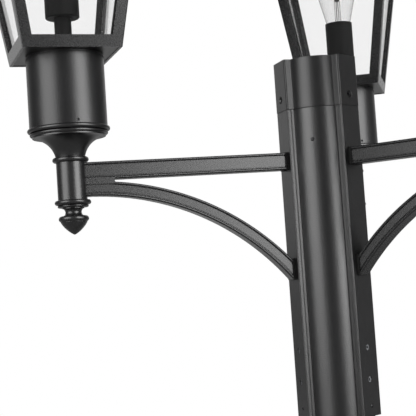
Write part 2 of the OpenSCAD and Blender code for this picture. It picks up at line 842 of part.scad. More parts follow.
// Glass foot and tube that carry the bulb's four filament sticks
module bulb_mount() {
    color(filament) {
        translate([0, 0, lamp_base_top - 3]) cylinder(h = 3, r = lamp_base_r - 0.65);
        translate([0, 0, lamp_base_top - eps]) cylinder(h = 10, r1 = 9, r2 = stem_tube_r, $fn = 48);
        translate([0, 0, lamp_base_top])
            cylinder(h = stem_tube_top - lamp_base_top, r = stem_tube_r, $fn = 48);
        translate([0, 0, stem_tube_top - 1])
            cylinder(h = filament_top_z - stem_tube_top + 5, r = 0.8, $fn = 24);
        for (turn = [45 : 90 : 315]) rotate(turn) {
            foot = [filament_foot_out, 0, filament_foot_z];
            top = [filament_top_out, 0, filament_top_z];
            rod([0, 0, stem_tube_top - 2], foot, 0.6);
            rod(foot, top, filament_r);
            rod(top, [0, 0, filament_top_z + 3], 0.6);
        }
    }
}

// Bar across the top of the frame, with the stud that the roof drops over
module crossbar() {
    half = frame_half_at(frame_h) - crossbar_short;
    color(steel) {
        translate([-half, -crossbar_w / 2, frame_h - crossbar_t]) cube([2 * half, crossbar_w, crossbar_t]);
        translate([0, 0, frame_h - eps])
            cylinder(h = roof_top_z() - frame_h + thumb_bore_h - 1, r = stud_r);
    }
}

// Height of the roof's underside at its eaves, and of its flat top
function eave_z() = frame_h - roof_low;
function roof_top_z() = eave_z() + eave_h + roof_steps[3][1];

// Where each bend of the roof lies, [half width, height], moved in and down by the given amounts
function roof_levels(in, down) = [for (step = roof_steps)
    [eave_half * step[0] - in, eave_z() + eave_h + step[1] - down]];

// The lowest level of the roof's hollow, moved along its first slope up to the top of the ledge
function hollow_foot(levels, z) = let (share = (z - levels[0][1]) / (levels[1][1] - levels[0][1]))
    [levels[0][0] + (levels[1][0] - levels[0][0]) * share, z];

// Pyramid whose sides bend in at each level
module bent_pyramid(levels) {
    for (i = [0 : len(levels) - 2]) {
        tapered_block(levels[i][1] - (i > 0 ? eps : 0), levels[i + 1][1], levels[i][0], levels[i + 1][0]);
    }
}

// Pyramid roof with hollowed sides: a skirt round the frame's top, a ledge just over it, and one wall above
module roof() {
    skirt = frame_half_at(frame_h) + roof_slack;
    ledge_half_at = frame_half_at(frame_h) - roof_lap;
    hollow = roof_levels(roof_wall_in, roof_wall_down);
    crown_half = eave_half * roof_steps[3][0];
    seat_z = frame_h + roof_seat;
    ledge_top = seat_z + roof_ledge_t;
    color(black) difference() {
        union() {
            tapered_block(eave_z(), eave_z() + eave_h, eave_half, eave_half);
            translate([0, 0, -eps]) bent_pyramid(roof_levels(0, 0));
            tapered_block(roof_top_z() - 1, roof_top_z(), crown_half, crown_half);
        }
        tapered_block(eave_z() - 1, seat_z, skirt, skirt);
        tapered_block(seat_z - 1, ledge_top + 1, ledge_half_at, ledge_half_at);
        bent_pyramid([hollow_foot(hollow, ledge_top), hollow[1], hollow[2],
            [hollow[3][0], roof_top_z() - roof_top_t]]);
        translate([0, 0, frame_h]) cylinder(h = 100, r = stud_r + 0.5, $fn = 32);
    }
}

// Acorn nut on the stud, which holds the roof down
module roof_finial() {
    color(satin_black) translate([0, 0, roof_top_z()]) difference() {
        rotate_extrude() {
            square([thumb_ring[0], 2]);
            ring(thumb_ring);
            difference() {
                square([thumb_neck[0], thumb_ball_z - 8]);
                translate([thumb_neck[0] + 1, thumb_neck[1]]) circle(r = thumb_neck[2]);
            }
            ring([thumb_ball_r - 2.6, thumb_ball_z - 6, 2.6]);
            translate([0, thumb_ball_z - 4]) mirror([0, 1]) acorn(thumb_ball_r - 2, thumb_acorn_h);
        }
        translate([0, 0, -1]) cylinder(h = thumb_bore_h + 1, r = thumb_bore_r);
    }
}

// Two-core lead of each lamp, along the arm, up the hub and into the lampholder, and the leads' splice
module lamp_leads() {
    down_x = 29;
    splice_z = -150;
    start = [down_x, 0, bar_start_z - wireway_down + (arm_start - down_x) * tan(bar_slope)];
    elbow = [arm_reach, 0, wireway_end_z];
    color(rubber_black) {
        for (turn = TURNS) at_arm(turn) {
            path = [[7, 0, splice_z + 18], [down_x, 0, -105], start, elbow,
                [arm_reach, 0, base_up + shell_bottom + shell_floor + 3]];
            for (i = [0 : len(path) - 2]) rod(path[i], path[i + 1], lead_r);
            for (i = [1 : len(path) - 2]) translate(path[i]) sphere(r = lead_r + 0.25, $fn = 32);
        }
        translate([0, 0, seam_z + splice_z]) cylinder(h = 22, r = 11);
    }
}

base_plate();
base_cover();
pole_screws();
pole();
pole_coupling();
head_post();
head_screws();
rivets();
cap_insert();
post_cap();
cap_screws();
arm_gaskets();
arm_bolts();
fitter_screws();
lamp_leads();
for (head = HEADS) {
    at_arm(head[1]) arm();
    at_lantern_axis(head[1]) hub();
    at_lantern_axis(head[1]) hub_finial();
    at_lantern_axis(head[1]) fitter_cup();
    in_lantern(head[1]) lantern_frame();
    in_lantern(head[1]) glass_panes();
    in_lantern(head[1]) socket_stem();
    in_lantern(head[1]) socket_shell();
    in_lantern(head[1]) socket_insert();
    in_lantern(head[1]) crossbar();
    in_lantern(head[1]) bulb_glass();
    in_lantern(head[1]) bulb_cap();
    in_lantern(head[1]) bulb_mount();
    in_lantern(head[1]) roof();
    in_lantern(head[1]) roof_finial();
}
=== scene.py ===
"""Outdoor post light with three square lanterns: finishes, bulbs, wiring, studio and camera.

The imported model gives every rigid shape. This script dresses each of its nodes in the finish that the real
piece has, and replaces the few that need finer surfaces than the source holds: the bulbs, the rivets and the
leads.
All lengths are in metres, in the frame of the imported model.
"""

import logging
import math
from dataclasses import dataclass
from enum import Enum

import bpy
import numpy as np
from bpy.types import Node, NodeSocket, NodeTree
from mathutils import Matrix, Vector


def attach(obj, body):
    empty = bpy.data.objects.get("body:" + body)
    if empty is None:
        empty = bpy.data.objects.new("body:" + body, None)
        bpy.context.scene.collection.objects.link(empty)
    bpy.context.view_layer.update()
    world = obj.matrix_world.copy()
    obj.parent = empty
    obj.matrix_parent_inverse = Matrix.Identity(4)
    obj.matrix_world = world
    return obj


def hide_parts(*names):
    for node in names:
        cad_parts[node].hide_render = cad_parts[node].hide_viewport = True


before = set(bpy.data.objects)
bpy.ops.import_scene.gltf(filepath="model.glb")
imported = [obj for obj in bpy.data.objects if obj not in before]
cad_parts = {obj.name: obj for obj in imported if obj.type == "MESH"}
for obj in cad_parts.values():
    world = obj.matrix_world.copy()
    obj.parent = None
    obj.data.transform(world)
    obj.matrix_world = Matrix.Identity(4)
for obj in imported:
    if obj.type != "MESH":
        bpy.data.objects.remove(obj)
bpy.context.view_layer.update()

# Rows of a radius and a height
Profile = tuple[tuple[float, float], ...]

LOG = logging.getLogger("post_light")
MM = 0.001
# Height of the seam between the post head and its cap
SEAM_Z = 1.8
# Distance from the post's axis to each lantern's axis
LANTERN_REACH = 0.28365
# Height of each lantern's underside above the seam
LANTERN_BASE_UP = 0.0637


class Side(Enum):
    """The three arms, each with the direction it points in, in degrees from +X."""

    LEFT = 180
    RIGHT = 300
    REAR = 60

    @property
    def label(self) -> str:
        """The prefix that this side's nodes and pieces have."""
        return self.name.lower()


class Seen(Enum):
    """The kinds of ray that are told apart, by their sockets on the Light Path node."""

    CAMERA = "Is Camera Ray"
    GLOSSY = "Is Glossy Ray"
    TRANSMISSION = "Is Transmission Ray"


# Node trees


def linear(colour: str) -> tuple[float, float, float, float]:
    """Turn an sRGB hex colour into linear values.

    Args:
        colour: Six hex digits with a leading hash.

    Returns:
        Red, green, blue and an alpha of one, as the shader sockets take them.
    """
    parts = [int(colour[i : i + 2], 16) / 255 for i in (1, 3, 5)]
    red, green, blue = (c / 12.92 if c <= 0.04045 else ((c + 0.055) / 1.055) ** 2.4 for c in parts)
    return red, green, blue, 1.0


def add_node(
    tree: NodeTree,
    kind: str,
    settings: dict[str, object] | None = None,
    inputs: dict[str | int, object] | None = None,
) -> Node:
    """Add one node to a tree, set it up and link it.

    Args:
        tree: The tree that the node goes into.
        kind: The node's type, such as ShaderNodeBump.
        settings: Attributes of the node itself.
        inputs: Input sockets by name or number. A socket as the value is linked, and anything else is set.

    Returns:
        The new node.
    """
    node = tree.nodes.new(kind)
    for key, value in (settings or {}).items():
        setattr(node, key, value)
    for key, value in (inputs or {}).items():
        if isinstance(value, NodeSocket):
            tree.links.new(value, node.inputs[key])
        else:
            node.inputs[key].default_value = value
    return node


# Finishes


@dataclass(frozen=True)
class Finish:
    """What a surface is made of and how it was finished.

    The base class makes the material and hands on the Object coordinates. Each kind adds its own patterns.
    """

    name: str
    colour: str
    roughness: float

    def material(self) -> bpy.types.Material:
        """Build the material, unless it was built before.

        Returns:
            The finish's one material.
        """
        known = bpy.data.materials.get(self.name)
        if known is not None:
            return known
        made = bpy.data.materials.new(self.name)
        made.use_nodes = True
        tree = made.node_tree
        tree.nodes.clear()
        place = add_node(tree, "ShaderNodeTexCoord").outputs["Object"]
        shader = add_node(tree, "ShaderNodeBsdfPrincipled", inputs=self.looks(tree, place))
        add_node(tree, "ShaderNodeOutputMaterial", inputs={"Surface": shader.outputs[0]})
        made.diffuse_color = linear(self.colour)
        return made

    def looks(self, tree: NodeTree, place: NodeSocket) -> dict[str, object]:
        """Add the finish's patterns to its tree.

        Args:
            tree: The material's node tree.
            place: The Object coordinates, in metres.

        Returns:
            The inputs of the Principled shader.
        """
        raise NotImplementedError

    def tinted(self, tree: NodeTree, pattern: NodeSocket, other: str, span: tuple[float, float]) -> NodeSocket:
        """Go from the finish's own colour to another as a pattern rises through a span of values.

        Args:
            tree: The material's node tree.
            pattern: The value that the colour follows.
            other: The colour over the span, as sRGB hex.
            span: The values at which the change starts and ends.

        Returns:
            The colour socket.
        """
        share = add_node(
            tree, "ShaderNodeMapRange", inputs={"Value": pattern, "From Min": span[0], "From Max": span[1]}
        ).outputs[0]
        return add_node(
            tree, "ShaderNodeMix", {"data_type": "RGBA"}, {0: share, 6: linear(self.colour), 7: linear(other)}
        ).outputs[2]

    def dress(self, *names: str) -> None:
        """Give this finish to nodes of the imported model.

        Args:
            names: The nodes' names.
        """
        for name in names:
            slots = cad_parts[name].data.materials
            slots.clear()
            slots.append(self.material())


@dataclass(frozen=True)
class PowderCoat(Finish):
    """Polyester powder baked on cast or drawn aluminium.

    The powder melts to a soft pebbled skin. Its grains scatter the light, so broad highlights look sandy, and
    it runs thin over edges, which keep a radius that catches a thin line of light.
    """

    raised: str = "#1f1f20"
    grain_mm: float = 1.2
    grain_rise_mm: float = 0.05
    edge_mm: float = 0.6
    specular: float = 0.5
    mottle: float = 0.35
    mottle_per_m: float = 38.0
    tint_span: tuple[float, float] = (0.36, 0.66)
    gloss_span: tuple[float, float] = (-0.05, 0.06)

    def looks(self, tree: NodeTree, place: NodeSocket) -> dict[str, object]:
        """Add the coat: grains in height, colour and gloss over rounded edges.

        Args:
            tree: The material's node tree.
            place: The Object coordinates, in metres.

        Returns:
            The inputs of the Principled shader.
        """
        grains = add_node(
            tree,
            "ShaderNodeTexNoise",
            inputs={"Vector": place, "Scale": 1 / (self.grain_mm * MM), "Detail": 2.0, "Roughness": 0.6},
        ).outputs["Fac"]
        patches = add_node(
            tree, "ShaderNodeTexNoise", inputs={"Vector": place, "Scale": self.mottle_per_m, "Detail": 3.0}
        ).outputs["Fac"]
        shade = add_node(
            tree,
            "ShaderNodeMath",
            {"operation": "MULTIPLY_ADD"},
            {0: patches, 1: self.mottle, 2: -self.mottle / 2},
        ).outputs[0]
        height = add_node(tree, "ShaderNodeMath", {"operation": "ADD"}, {0: grains, 1: shade}).outputs[0]
        gloss = add_node(
            tree,
            "ShaderNodeMapRange",
            inputs={
                "Value": height,
                "To Min": self.roughness + self.gloss_span[0],
                "To Max": self.roughness + self.gloss_span[1],
            },
        ).outputs[0]
        edge = add_node(tree, "ShaderNodeBevel", {"samples": 4}, {"Radius": self.edge_mm * MM}).outputs[0]
        bump = add_node(
            tree,
            "ShaderNodeBump",
            inputs={"Height": grains, "Strength": 1.0, "Distance": self.grain_rise_mm * MM, "Normal": edge},
        ).outputs[0]
        return {
            "Base Color": self.tinted(tree, height, self.raised, self.tint_span),
            "Roughness": gloss,
            "Normal": bump,
            "Specular IOR Level": self.specular,
        }


@dataclass(frozen=True)
class Rubber(Finish):
    """Moulded rubber or a soft PVC sheath: dull, with a fine leathery bloom and no clear highlight."""

    bloom: str = "#2a2a2a"
    grain_mm: float = 0.8
    grain_rise_mm: float = 0.04
    specular: float = 0.35
    tint_span: tuple[float, float] = (0.35, 0.75)

    def looks(self, tree: NodeTree, place: NodeSocket) -> dict[str, object]:
        """Add the dull skin with its pale bloom.

        Args:
            tree: The material's node tree.
            place: The Object coordinates, in metres.

        Returns:
            The inputs of the Principled shader.
        """
        skin = add_node(
            tree,
            "ShaderNodeTexNoise",
            inputs={"Vector": place, "Scale": 1 / (self.grain_mm * MM), "Detail": 4.0},
        ).outputs["Fac"]
        bump = add_node(
            tree,
            "ShaderNodeBump",
            inputs={"Height": skin, "Strength": 0.6, "Distance": self.grain_rise_mm * MM},
        ).outputs[0]
        return {
            "Base Color": self.tinted(tree, skin, self.bloom, self.tint_span),
            "Roughness": self.roughness,
            "Normal": bump,
            "Specular IOR Level": self.specular,
        }


@dataclass(frozen=True)
class Metal(Finish):
    """Bare, plated or oxidised metal, with the fine marks of turning or rolling that streak its gloss."""

    streak: str = "#8a8b8d"
    mark_mm: float = 0.5
    mark_rise_mm: float = 0.02
    widest: float = 6.0
    stretch: tuple[float, float, float] = (1.0, 1.0, 6.0)
    edge_mm: float = 0.25
    tint_span: tuple[float, float] = (0.3, 0.7)
    gloss_span: tuple[float, float] = (-0.08, 0.1)

    def looks(self, tree: NodeTree, place: NodeSocket) -> dict[str, object]:
        """Add the metal with marks that are finest along its axis, from the widest down to the finest.

        Args:
            tree: The material's node tree.
            place: The Object coordinates, in metres.

        Returns:
            The inputs of the Principled shader.
        """
        along = add_node(tree, "ShaderNodeMapping", inputs={"Vector": place, "Scale": self.stretch}).outputs[0]
        marks = add_node(
            tree,
            "ShaderNodeTexNoise",
            inputs={"Vector": along, "Scale": 1 / (self.widest * self.mark_mm * MM), "Detail": 5.0},
        ).outputs["Fac"]
        gloss = add_node(
            tree,
            "ShaderNodeMapRange",
            inputs={
                "Value": marks,
                "To Min": self.roughness + self.gloss_span[0],
                "To Max": self.roughness + self.gloss_span[1],
            },
        ).outputs[0]
        edge = add_node(tree, "ShaderNodeBevel", {"samples": 4}, {"Radius": self.edge_mm * MM}).outputs[0]
        bump = add_node(
            tree,
            "ShaderNodeBump",
            inputs={"Height": marks, "Strength": 0.4, "Distance": self.mark_rise_mm * MM, "Normal": edge},
        ).outputs[0]
        return {
            "Base Color": self.tinted(tree, marks, self.streak, self.tint_span),
            "Metallic": 1.0,
            "Roughness": gloss,
            "Normal": bump,
        }


@dataclass(frozen=True)
class ClearGlass(Finish):
    """Clear soda-lime glass, drawn flat or blown, with the slow waves that bend what is seen through it."""

    ior: float = 1.5
    wave_mm: float = 30.0
    wave_rise_mm: float = 0.02

    def looks(self, tree: NodeTree, place: NodeSocket) -> dict[str, object]:
        """Add the glass with its waves.

        Args:
            tree: The material's node tree.
            place: The Object coordinates, in metres.

        Returns:
            The inputs of the Principled shader.
        """
        waves = add_node(
            tree,
            "ShaderNodeTexNoise",
            inputs={"Vector": place, "Scale": 1 / (self.wave_mm * MM), "Detail": 1.0},
        ).outputs["Fac"]
        bump = add_node(
            tree,
            "ShaderNodeBump",
            inputs={"Height": waves, "Strength": 1.0, "Distance": self.wave_rise_mm * MM},
        ).outputs[0]
        return {
            "Base Color": linear(self.colour),
            "Roughness": self.roughness,
            "IOR": self.ior,
            "Transmission Weight": 1.0,
            "Normal": bump,
        }


@dataclass(frozen=True)
class Glaze(Finish):
    """Glazed porcelain: a white body with faint clouds under a clear, glossy skin."""

    cloud: str = "#efece4"
    cloud_mm: float = 4.0
    cloud_rise_mm: float = 0.05
    coat: float = 0.6
    coat_roughness: float = 0.06
    tint_span: tuple[float, float] = (0.3, 0.7)

    def looks(self, tree: NodeTree, place: NodeSocket) -> dict[str, object]:
        """Add the clouded body and its coat.

        Args:
            tree: The material's node tree.
            place: The Object coordinates, in metres.

        Returns:
            The inputs of the Principled shader.
        """
        clouds = add_node(
            tree,
            "ShaderNodeTexNoise",
            inputs={"Vector": place, "Scale": 1 / (self.cloud_mm * MM), "Detail": 2.0},
        ).outputs["Fac"]
        bump = add_node(
            tree,
            "ShaderNodeBump",
            inputs={"Height": clouds, "Strength": 0.5, "Distance": self.cloud_rise_mm * MM},
        ).outputs[0]
        return {
            "Base Color": self.tinted(tree, clouds, self.cloud, self.tint_span),
            "Roughness": self.roughness,
            "Coat Weight": self.coat,
            "Coat Roughness": self.coat_roughness,
            "Normal": bump,
        }


# Sand-textured polyester powder on the castings. Its grains are under 0.4 mm on the real part. They are drawn
# three times as coarse, because one pixel of the picture covers about a millimetre.
SAND_COAT = PowderCoat(
    "sand_black_powder_coat",
    "#0c0c0d",
    0.27,
    raised="#1d1d1e",
    grain_mm=1.1,
    grain_rise_mm=0.045,
    edge_mm=0.2,
    mottle=0.12,
    specular=0.8,
)
# Smooth satin powder on the turned and drawn pieces, which gives two clear soft bands of light on a cylinder.
SATIN_COAT = PowderCoat(
    "satin_black_powder_coat",
    "#0e0e0f",
    0.34,
    raised="#151516",
    grain_mm=1.5,
    grain_rise_mm=0.12,
    edge_mm=0.7,
    specular=0.78,
)
# The same powder on the extruded head, which lies a little smoother over its long ribs.
HEAD_COAT = PowderCoat(
    "smooth_black_powder_coat",
    "#0e0e0f",
    0.31,
    raised="#151516",
    grain_mm=1.3,
    grain_rise_mm=0.18,
    edge_mm=0.4,
    specular=0.98,
)
# Semi-gloss powder on the turned hubs and acorns, whose bands of light are narrower and brighter.
GLOSS_COAT = PowderCoat(
    "semi_gloss_black_powder_coat",
    "#0e0e0f",
    0.32,
    raised="#151516",
    grain_mm=1.6,
    grain_rise_mm=0.05,
    edge_mm=0.5,
    specular=0.98,
)
# Matt baked lacquer on the lampholder's cover and its sleeve, duller than the coats outside the glass.
MATT_LACQUER = PowderCoat(
    "matt_black_lacquer",
    "#080808",
    0.5,
    raised="#0d0d0d",
    grain_mm=1.0,
    grain_rise_mm=0.01,
    edge_mm=0.3,
    specular=0.2,
)
# Moulded EPDM rubber of the seals, which stays dull beside the satin coat.
SEAL_RUBBER = Rubber("moulded_epdm_rubber", "#0e0e0e", 0.78, bloom="#1a1a1a")
# Soft PVC sheath of the lamp leads, a little glossier than rubber.
LEAD_SHEATH = Rubber("soft_pvc_sheath", "#151515", 0.55, bloom="#232323", grain_mm=1.5)
# Black-oxide steel of the set screws, dark with small hard glints.
OXIDE_STEEL = Metal("black_oxide_steel", "#353536", 0.3, streak="#505051")
# Bare stainless steel of the set screws in the head, which glint from their sockets.
STAINLESS_STEEL = Metal("stainless_steel", "#9b9da0", 0.42, streak="#c2c4c7", mark_mm=0.4)
# Zinc-plated steel of the hidden sleeve, casting and crossbars.
ZINC_STEEL = Metal(
    "zinc_plated_steel", "#a9acb0", 0.36, streak="#c3c6c9", mark_mm=1.0, stretch=(1.0, 1.0, 1.0)
)
# Drawn brass under nickel, the bulb's screw shell.
NICKEL_BRASS = Metal("nickel_plated_brass", "#bdb9ae", 0.24, streak="#d2cfc6", mark_mm=0.6)
# Soft solder and brass of the bulb's end contact.
CONTACT_BRASS = Metal("contact_brass", "#a98f55", 0.3, streak="#c6ab6e", mark_mm=0.4)
# Nickel wire that feeds and holds the filaments, dull from sealing in the glass.
NICKEL_WIRE = Metal("sealed_nickel_wire", "#4e4c49", 0.4, streak="#6a6864", mark_mm=0.3)
# Rolled float glass of the panes: clear and almost flat, with the faintest grey of its iron.
PANE_GLASS = ClearGlass("clear_float_glass", "#fefefe", 0.0, ior=1.45)
# Blown glass of the bulb, with longer and deeper waves than the panes.
BULB_GLASS = ClearGlass("blown_bulb_glass", "#fefefe", 0.0, wave_mm=14.0, wave_rise_mm=0.03)
# Black lead glass round the bulb's contact.
VITRITE = Glaze("black_vitrite_glass", "#101012", 0.15, cloud="#18181b", cloud_mm=2.0)
# White glazed ceramic of the lampholder.
PORCELAIN = Glaze("glazed_porcelain", "#e6e2d8", 0.22)
# Yellow phosphor resin on the bulb's filament sticks.
PHOSPHOR = Rubber("phosphor_resin", "#c9a23c", 0.45, bloom="#dcb957", grain_mm=0.6)
# Matt paint of the studio floor, a pale warm grey with the faint mottle of a rolled coat.
FLOOR_PAINT = Rubber("matt_floor_paint", "#d9d8d6", 0.9, bloom="#e2e1df", grain_mm=6.0)


# Surfaces


@dataclass
class Shell:
    """A closed surface as plain arrays: points in metres, and the corners of its quads and triangles."""

    points: np.ndarray
    quads: np.ndarray
    tris: np.ndarray

    @classmethod
    def from_rings(cls, rings: np.ndarray, first: np.ndarray, last: np.ndarray) -> "Shell":
        """Skin a stack of closed rings and close both ends on a point.

        Args:
            rings: Points as rings by places round a ring by three.
            first: The point that closes the first ring.
            last: The point that closes the last ring.

        Returns:
            The shell, turned so that its faces point outwards.
        """
        count, sides = rings.shape[:2]
        at = np.arange(count * sides).reshape(count, sides)
        after = np.roll(at, -1, axis=1)
        quads = np.stack([at[:-1], after[:-1], after[1:], at[1:]], axis=-1).reshape(-1, 4)
        ends = (count * sides, count * sides + 1)
        head = np.stack([np.full(sides, ends[0]), after[0], at[0]], axis=-1)
        tail = np.stack([np.full(sides, ends[1]), at[-1], after[-1]], axis=-1)
        points = np.vstack([rings.reshape(-1, 3), first, last])
        return cls(points, quads, np.vstack([head, tail])).outward()

    @classmethod
    def revolved(cls, profile: np.ndarray, sides: int = 64, swell: np.ndarray | None = None) -> "Shell":
        """Turn a profile about the Z axis: x = (r + swell) cos t, y = (r + swell) sin t, z = z.

        Args:
            profile: Rows of radius and height. Its first and last rows lie on the axis.
            sides: How many places there are round the axis.
            swell: What is added to the radius, as inner rows by places, or nothing.

        Returns:
            The closed shell.
        """
        turn = np.linspace(0, 2 * np.pi, sides, endpoint=False)
        radius = profile[1:-1, :1] + (0.0 if swell is None else swell)
        radius = np.broadcast_to(radius, (len(profile) - 2, sides))
        height = np.broadcast_to(profile[1:-1, 1:], radius.shape)
        rings = np.stack([radius * np.cos(turn), radius * np.sin(turn), height], axis=-1)
        poles = np.array([[0, 0, profile[0, 1]], [0, 0, profile[-1, 1]]])
        return cls.from_rings(rings, poles[0], poles[1])

    @classmethod
    def tube(cls, path: np.ndarray, radius: np.ndarray | float, sides: int = 12) -> "Shell":
        """Carry a circle along a path: p(s, t) = path(s) + radius(s) (cos t side(s) + sin t up(s)).

        The side is one axis less its part along the tangent, so the circle doesn't twist where the path bends.

        Args:
            path: Points along the middle of the tube.
            radius: One radius, or one for each point.
            sides: How many places there are round the tube.

        Returns:
            The tube, each end closed on a point half a radius further on.
        """
        tangent = np.gradient(path, axis=0)
        tangent /= np.linalg.norm(tangent, axis=1, keepdims=True)
        seed = np.eye(3)[np.argmin(np.abs(tangent).max(axis=0))]
        side = seed - tangent * (tangent @ seed)[:, None]
        side /= np.linalg.norm(side, axis=1, keepdims=True)
        up = np.cross(tangent, side)
        turn = np.linspace(0, 2 * np.pi, sides, endpoint=False)
        reach = np.broadcast_to(radius, (len(path),))[:, None, None]
        around = np.cos(turn)[None, :, None] * side[:, None] + np.sin(turn)[None, :, None] * up[:, None]
        rings = path[:, None] + reach * around
        nose = 0.5 * float(reach[0, 0, 0])
        return cls.from_rings(rings, path[0] - tangent[0] * nose, path[-1] + tangent[-1] * nose)

    def outward(self) -> "Shell":
        """Turn the faces outwards.

        The volume is a sixth of the sum of a . (b x c) over the triangles. Where it is negative, every face
        is turned.

        Returns:
            This shell, or a turned copy.
        """
        p, q, t = self.points, self.quads, self.tris
        corners = np.vstack([q[:, [0, 1, 2]], q[:, [0, 2, 3]], t])
        volume = np.einsum("ij,ij->", p[corners[:, 0]], np.cross(p[corners[:, 1]], p[corners[:, 2]]))
        return self if volume >= 0 else Shell(p, q[:, ::-1], t[:, ::-1])

    def moved(self, shift: tuple[float, float, float] = (0.0, 0.0, 0.0), turn: float = 0.0) -> "Shell":
        """Turn the shell about the Z axis and then shift it.

        Args:
            shift: How far it moves, in metres.
            turn: How far it turns first, in degrees.

        Returns:
            The moved shell.
        """
        spin = np.array(Matrix.Rotation(math.radians(turn), 3, "Z"))
        return Shell(self.points @ spin.T + np.array(shift), self.quads, self.tris)

    def with_axis(self, centre: np.ndarray, axis: np.ndarray) -> "Shell":
        """Lay the shell's Z axis along another direction and put its origin at a point.

        Args:
            centre: Where the origin goes.
            axis: The direction that Z goes to.

        Returns:
            The laid shell.
        """
        spin = np.array(Vector(axis).to_track_quat("Z", "Y").to_matrix())
        return Shell(self.points @ spin.T + centre, self.quads, self.tris)

    def joined(self, *others: "Shell") -> "Shell":
        """Put other shells into one set of arrays with this one.

        Args:
            others: The shells to add.

        Returns:
            One shell of them all.
        """
        parts = (self, *others)
        starts = np.cumsum([0, *(len(part.points) for part in parts[:-1])])
        return Shell(
            np.vstack([part.points for part in parts]),
            np.vstack([part.quads + start for part, start in zip(parts, starts, strict=True)]),
            np.vstack([part.tris + start for part, start in zip(parts, starts, strict=True)]),
        )

    def piece(self, name: str, finish: Finish, crease: float = 40.0) -> bpy.types.Object:
        """Make the shell a piece of the scene.

        Args:
            name: The piece's name.
            finish: What it is finished in.
            crease: The angle, in degrees, over which an edge stays sharp.

        Returns:
            The new object, at the origin.
        """
        mesh = bpy.data.meshes.new(name)
        corners = np.concatenate([self.quads.ravel(), self.tris.ravel()]).astype(np.int32)
        sizes = np.concatenate([np.full(len(self.quads), 4), np.full(len(self.tris), 3)])
        starts = (np.cumsum(sizes) - sizes).astype(np.int32)
        mesh.vertices.add(len(self.points))
        mesh.vertices.foreach_set("co", self.points.astype(np.float32).ravel())
        mesh.loops.add(len(corners))
        mesh.loops.foreach_set("vertex_index", corners)
        mesh.polygons.add(len(sizes))
        mesh.polygons.foreach_set("loop_start", starts)
        mesh.update(calc_edges=True)
        mesh.validate()
        mesh.shade_smooth()
        mesh.set_sharp_from_angle(angle=math.radians(crease))
        mesh.materials.append(finish.material())
        made = bpy.data.objects.new(name, mesh)
        bpy.context.scene.collection.objects.link(made)
        return made


def smooth_path(corners: np.ndarray, rounds: int = 3) -> np.ndarray:
    """Round a bent path by cutting its corners.

    Each round puts points at a quarter and three quarters of every stretch, and keeps the two ends.

    Args:
        corners: The path's corner points.
        rounds: How often the corners are cut.

    Returns:
        The points of the smooth path.
    """
    for _ in range(rounds):
        near = 0.75 * corners[:-1] + 0.25 * corners[1:]
        far = 0.25 * corners[:-1] + 0.75 * corners[1:]
        inner = np.stack([near, far], axis=1).reshape(-1, 3)
        corners = np.vstack([corners[:1], inner, corners[-1:]])
    return corners


# The object's sub-assemblies


@dataclass
class Foot:
    """Cast foot plate and the bell-shaped cover over it."""

    castings: tuple[str, ...] = ("base_plate", "base_cover")

    def build(self) -> list[bpy.types.Object]:
        """Dress the castings in the sand coat. Nothing here needs a new piece."""
        SAND_COAT.dress(*self.castings)
        return []


@dataclass
class Post:
    """Round pole, three-pad head and cap, with their seals, screws and rivets."""

    rivet_head_r: float = 2.2 * MM
    rivet_rise: float = 0.7 * MM
    rivet_sink: float = 0.02 * MM
    rivet_shank_r: float = 1.55 * MM
    dimple_r: float = 0.8 * MM
    dimple_mm: Profile = ((0.7, 0.55), (0.6, 0.15), (0.0, 0.1))
    pad_face: float = 43.65 * MM
    lobe_face: float = 40.5 * MM
    pad_rivet_z: float = SEAM_Z - 327 * MM
    lobe_rivet_z: float = SEAM_Z - 35 * MM
    pad_rivet_in: float = 35.6 * MM - 2 * MM
    lobe_rivet_in: float = 30.5 * MM
    lobe_turn: float = 55.0

    def rivet(self, inner: float, face: float) -> Shell:
        """Turn a blind rivet: its shank, a low dome and the dimple that the snapped stem leaves.

        The dome's radius goes from its edge to the dimple as a cosine while its height rises as a sine.

        Args:
            inner: Distance of the shank's end from the post's axis.
            face: Distance of the face that the head lies on.

        Returns:
            The rivet along Z, at its distances from the origin.
        """
        bend = np.linspace(0, np.pi / 2, 7)
        dome_r = self.dimple_r + (self.rivet_head_r - self.dimple_r) * np.cos(bend)
        dome_z = face + self.rivet_rise * np.sin(bend)
        dimple = np.array(self.dimple_mm) * MM + [0.0, face]
        shank_r, shank_top = self.rivet_shank_r, face + self.rivet_sink
        shank = np.array([[0.0, inner], [shank_r, inner], [shank_r, shank_top]])
        return Shell.revolved(np.vstack([shank, np.column_stack([dome_r, dome_z]), dimple]), 24)

    def rivets(self) -> bpy.types.Object:
        """Set a rivet low on each pad and high on each lobe.

        Returns:
            The rivets as one piece.
        """
        parts = []
        for side in Side:
            pad = math.radians(side.value)
            lobe = math.radians(side.value + self.lobe_turn)
            for angle, inner, face, z in (
                (pad, self.pad_rivet_in, self.pad_face, self.pad_rivet_z),
                (lobe, self.lobe_rivet_in, self.lobe_face, self.lobe_rivet_z),
            ):
                axis = np.array([math.cos(angle), math.sin(angle), 0.0])
                parts.append(self.rivet(inner, face).with_axis(np.array([0.0, 0.0, z]), axis))
        made = parts[0].joined(*parts[1:]).piece("blind_rivets", OXIDE_STEEL)
        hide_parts("rivets")
        return made

    def build(self) -> list[bpy.types.Object]:
        """Dress the post's nodes and set its rivets.

        Returns:
            The new pieces.
        """
        SATIN_COAT.dress("pole", "post_cap")
        HEAD_COAT.dress("head_post")
        ZINC_STEEL.dress("pole_coupling", "cap_insert", "arm_bolts")
        OXIDE_STEEL.dress("pole_screws", "cap_screws", "fitter_screws")
        STAINLESS_STEEL.dress("head_screws")
        SEAL_RUBBER.dress("arm_gaskets")
        made = self.rivets()
        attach(made, "post")
        return [made]


